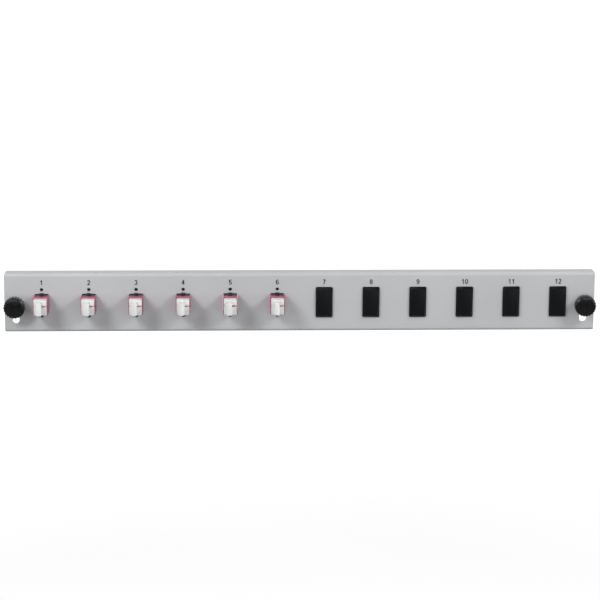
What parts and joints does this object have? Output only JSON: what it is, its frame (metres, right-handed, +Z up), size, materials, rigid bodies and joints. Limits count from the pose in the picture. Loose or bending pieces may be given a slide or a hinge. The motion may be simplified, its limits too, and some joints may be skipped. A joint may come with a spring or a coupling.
{
  "type": "fibre adapter panel",
  "caption": "One-unit folded steel front panel with capped LC duplex fibre adapters, blanking plates and captive thumb screws.",
  "frame": {"origin": "midway between the two captive screws, in the plane of the flanges' rear edges", "axes": "+X to the viewer's right along the panel, +Y away from the viewer, into the housing behind, +Z up"},
  "size_m": [0.43, 0.0486, 0.0436],
  "materials": {
    "powder_coat": "light grey powder-coated steel sheet",
    "violet_plastic": "heather violet moulded plastic",
    "white_plastic": "white moulded plastic",
    "black_plastic": "black moulded plastic",
    "spring_steel": "spring steel strip",
    "screw_steel": "zinc-plated steel",
    "sleeve_ceramic": "polished white zirconia ceramic",
    "nylon": "natural nylon"
  },
  "bodies": {
    "panel": {"front_panel": "powder_coat", "adapter_1_front_housing": "violet_plastic", "adapter_1_rear_housing": "violet_plastic", "adapter_1_split_sleeves": "sleeve_ceramic", "adapter_1_spring_clips": "spring_steel", "adapter_2_front_housing": "violet_plastic", "adapter_2_rear_housing": "violet_plastic", "adapter_2_split_sleeves": "sleeve_ceramic", "adapter_2_spring_clips": "spring_steel", "adapter_3_front_housing": "violet_plastic", "adapter_3_rear_housing": "violet_plastic", "adapter_3_split_sleeves": "sleeve_ceramic", "adapter_3_spring_clips": "spring_steel", "adapter_4_front_housing": "violet_plastic", "adapter_4_rear_housing": "violet_plastic", "adapter_4_split_sleeves": "sleeve_ceramic", "adapter_4_spring_clips": "spring_steel", "adapter_5_front_housing": "violet_plastic", "adapter_5_rear_housing": "violet_plastic", "adapter_5_split_sleeves": "sleeve_ceramic", "adapter_5_spring_clips": "spring_steel", "adapter_6_front_housing": "violet_plastic", "adapter_6_rear_housing": "violet_plastic", "adapter_6_split_sleeves": "sleeve_ceramic", "adapter_6_spring_clips": "spring_steel", "left_bush": "black_plastic", "right_bush": "black_plastic"},
    "adapter_1_front_cap": {"adapter_1_front_cap": "white_plastic"},
    "adapter_1_rear_cap": {"adapter_1_rear_cap": "white_plastic"},
    "adapter_2_front_cap": {"adapter_2_front_cap": "white_plastic"},
    "adapter_2_rear_cap": {"adapter_2_rear_cap": "white_plastic"},
    "adapter_3_front_cap": {"adapter_3_front_cap": "white_plastic"},
    "adapter_3_rear_cap": {"adapter_3_rear_cap": "white_plastic"},
    "adapter_4_front_cap": {"adapter_4_front_cap": "white_plastic"},
    "adapter_4_rear_cap": {"adapter_4_rear_cap": "white_plastic"},
    "adapter_5_front_cap": {"adapter_5_front_cap": "white_plastic"},
    "adapter_5_rear_cap": {"adapter_5_rear_cap": "white_plastic"},
    "adapter_6_front_cap": {"adapter_6_front_cap": "white_plastic"},
    "adapter_6_rear_cap": {"adapter_6_rear_cap": "white_plastic"},
    "blanking_plate_7": {"blanking_plate_7": "black_plastic"},
    "blanking_plate_8": {"blanking_plate_8": "black_plastic"},
    "blanking_plate_9": {"blanking_plate_9": "black_plastic"},
    "blanking_plate_10": {"blanking_plate_10": "black_plastic"},
    "blanking_plate_11": {"blanking_plate_11": "black_plastic"},
    "blanking_plate_12": {"blanking_plate_12": "black_plastic"},
    "left_slider": {"left_retaining_washer": "nylon"},
    "left_thumb_screw": {"left_screw": "screw_steel", "left_knob": "black_plastic"},
    "right_slider": {"right_retaining_washer": "nylon"},
    "right_thumb_screw": {"right_screw": "screw_steel", "right_knob": "black_plastic"}
  },
  "joints": [
    {"name": "adapter_1_front_cap_pull", "type": "slide", "parent": "panel", "child": "adapter_1_front_cap", "axis": [0, -1, 0], "range_m": [0, 0.012]},
    {"name": "adapter_1_rear_cap_pull", "type": "slide", "parent": "panel", "child": "adapter_1_rear_cap", "axis": [0, 1, 0], "range_m": [0, 0.012]},
    {"name": "adapter_2_front_cap_pull", "type": "slide", "parent": "panel", "child": "adapter_2_front_cap", "axis": [0, -1, 0], "range_m": [0, 0.012]},
    {"name": "adapter_2_rear_cap_pull", "type": "slide", "parent": "panel", "child": "adapter_2_rear_cap", "axis": [0, 1, 0], "range_m": [0, 0.012]},
    {"name": "adapter_3_front_cap_pull", "type": "slide", "parent": "panel", "child": "adapter_3_front_cap", "axis": [0, -1, 0], "range_m": [0, 0.012]},
    {"name": "adapter_3_rear_cap_pull", "type": "slide", "parent": "panel", "child": "adapter_3_rear_cap", "axis": [0, 1, 0], "range_m": [0, 0.012]},
    {"name": "adapter_4_front_cap_pull", "type": "slide", "parent": "panel", "child": "adapter_4_front_cap", "axis": [0, -1, 0], "range_m": [0, 0.012]},
    {"name": "adapter_4_rear_cap_pull", "type": "slide", "parent": "panel", "child": "adapter_4_rear_cap", "axis": [0, 1, 0], "range_m": [0, 0.012]},
    {"name": "adapter_5_front_cap_pull", "type": "slide", "parent": "panel", "child": "adapter_5_front_cap", "axis": [0, -1, 0], "range_m": [0, 0.012]},
    {"name": "adapter_5_rear_cap_pull", "type": "slide", "parent": "panel", "child": "adapter_5_rear_cap", "axis": [0, 1, 0], "range_m": [0, 0.012]},
    {"name": "adapter_6_front_cap_pull", "type": "slide", "parent": "panel", "child": "adapter_6_front_cap", "axis": [0, -1, 0], "range_m": [0, 0.012]},
    {"name": "adapter_6_rear_cap_pull", "type": "slide", "parent": "panel", "child": "adapter_6_rear_cap", "axis": [0, 1, 0], "range_m": [0, 0.012]},
    {"name": "blanking_plate_7_pull", "type": "slide", "parent": "panel", "child": "blanking_plate_7", "axis": [0, -1, 0], "range_m": [0, 0.009]},
    {"name": "blanking_plate_8_pull", "type": "slide", "parent": "panel", "child": "blanking_plate_8", "axis": [0, -1, 0], "range_m": [0, 0.009]},
    {"name": "blanking_plate_9_pull", "type": "slide", "parent": "panel", "child": "blanking_plate_9", "axis": [0, -1, 0], "range_m": [0, 0.009]},
    {"name": "blanking_plate_10_pull", "type": "slide", "parent": "panel", "child": "blanking_plate_10", "axis": [0, -1, 0], "range_m": [0, 0.009]},
    {"name": "blanking_plate_11_pull", "type": "slide", "parent": "panel", "child": "blanking_plate_11", "axis": [0, -1, 0], "range_m": [0, 0.009]},
    {"name": "blanking_plate_12_pull", "type": "slide", "parent": "panel", "child": "blanking_plate_12", "axis": [0, -1, 0], "range_m": [0, 0.009]},
    {"name": "left_screw_draw", "type": "slide", "parent": "panel", "child": "left_slider", "axis": [0, -1, 0], "range_m": [0, 0.0048]},
    {"name": "left_screw_turn", "type": "hinge", "parent": "left_slider", "child": "left_thumb_screw", "pos_m": [-0.207, 0, 0], "axis": [0, 1, 0], "continuous": true},
    {"name": "right_screw_draw", "type": "slide", "parent": "panel", "child": "right_slider", "axis": [0, -1, 0], "range_m": [0, 0.0048]},
    {"name": "right_screw_turn", "type": "hinge", "parent": "right_slider", "child": "right_thumb_screw", "pos_m": [0.207, 0, 0], "axis": [0, 1, 0], "continuous": true}
  ]
}
